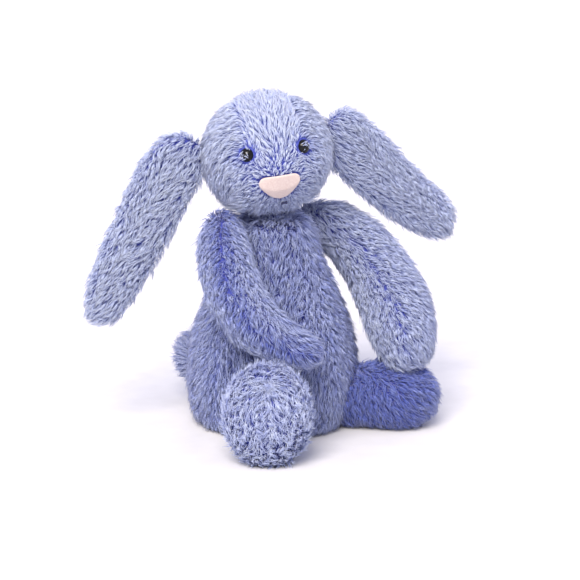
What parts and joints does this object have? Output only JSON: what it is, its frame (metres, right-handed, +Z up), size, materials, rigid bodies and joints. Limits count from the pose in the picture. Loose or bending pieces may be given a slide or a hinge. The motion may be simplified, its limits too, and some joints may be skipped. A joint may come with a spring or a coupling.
{
  "type": "stuffed bunny rabbit",
  "caption": "Seated long-pile plush rabbit with lop ears, hanging arms, splayed legs, a round tail, a felt-like nose pad and glossy bead eyes.",
  "frame": {"origin": "middle of the seat on the torso's own axis, where it rests on the ground", "axes": "+Z up, -Y the way the torso faces, +X the rabbit's own left side; the head is turned 34 degrees to its right"},
  "size_m": [0.153, 0.111, 0.1408],
  "materials": {
    "plush": "periwinkle long-pile polyester plush",
    "nose_suedette": "short-nap pale pink suedette",
    "eye_plastic": "polished black",
    "washer_plastic": "natural moulded",
    "thread": "dark embroidery thread",
    "fibrefill": "loose polyester fibre",
    "pouch_cloth": "plain woven lining"
  },
  "bodies": {
    "torso": {"torso_front_panel": "plush", "torso_back_panel": "plush", "torso_base_panel": "plush", "torso_stuffing": "fibrefill", "pellet_pouch": "pouch_cloth"},
    "neck": {"neck_gather": "plush"},
    "head": {"head_centre_panel": "plush", "head_side_panel_left": "plush", "head_side_panel_right": "plush", "head_stuffing": "fibrefill", "eye_left": "eye_plastic", "eye_right": "eye_plastic", "eye_washer_left": "washer_plastic", "eye_washer_right": "washer_plastic", "nose_patch": "nose_suedette", "mouth_stitch": "thread"},
    "ear_left": {"ear_left_front_panel": "plush", "ear_left_back_panel": "plush"},
    "ear_right": {"ear_right_front_panel": "plush", "ear_right_back_panel": "plush"},
    "arm_left": {"arm_left_outer_panel": "plush", "arm_left_inner_panel": "plush", "arm_left_stuffing": "fibrefill"},
    "arm_right": {"arm_right_outer_panel": "plush", "arm_right_inner_panel": "plush", "arm_right_stuffing": "fibrefill"},
    "leg_left": {"leg_left_outer_panel": "plush", "leg_left_inner_panel": "plush", "leg_left_stuffing": "fibrefill"},
    "leg_right": {"leg_right_outer_panel": "plush", "leg_right_inner_panel": "plush", "leg_right_stuffing": "fibrefill"},
    "tail": {"tail_upper_panel": "plush", "tail_lower_panel": "plush", "tail_stuffing": "fibrefill"}
  },
  "joints": [
    {"name": "head_turn", "type": "hinge", "parent": "torso", "child": "neck", "pos_m": [-0.001, -0.001, 0.091], "axis": [0, 0, 1], "range_deg": [-50, 50]},
    {"name": "head_nod", "type": "hinge", "parent": "neck", "child": "head", "pos_m": [-0.001, -0.001, 0.091], "axis": [0.829, -0.5592, 0], "range_deg": [-18, 18]},
    {"name": "ear_left_lift", "type": "hinge", "parent": "head", "child": "ear_left", "pos_m": [0.0199, -0.01551, 0.12625], "axis": [-0.5592, -0.829, 0], "range_deg": [0, 85]},
    {"name": "ear_right_lift", "type": "hinge", "parent": "head", "child": "ear_right", "pos_m": [-0.03018, 0.01585, 0.119], "axis": [0.5592, 0.829, 0], "range_deg": [0, 85]},
    {"name": "arm_left_raise", "type": "hinge", "parent": "torso", "child": "arm_left", "pos_m": [0.0265, 0.001, 0.0845], "axis": [-1, 0, 0], "range_deg": [0, 25]},
    {"name": "arm_right_raise", "type": "hinge", "parent": "torso", "child": "arm_right", "pos_m": [-0.0265, 0.001, 0.0845], "axis": [-1, 0, 0], "range_deg": [0, 62]},
    {"name": "leg_left_drop", "type": "hinge", "parent": "torso", "child": "leg_left", "pos_m": [0.02046, -0.02715, 0.0128], "axis": [0.7986, 0.6018, 0], "range_deg": [0, 60]},
    {"name": "leg_right_drop", "type": "hinge", "parent": "torso", "child": "leg_right", "pos_m": [-0.02466, -0.0234, 0.0128], "axis": [0.6884, -0.7254, 0], "range_deg": [0, 60]},
    {"name": "tail_bend", "type": "hinge", "parent": "torso", "child": "tail", "pos_m": [-0.001, 0.0346, 0.021], "axis": [1, 0, 0], "range_deg": [-25, 25], "stiffness_Nm_per_rad": 0.002}
  ]
}
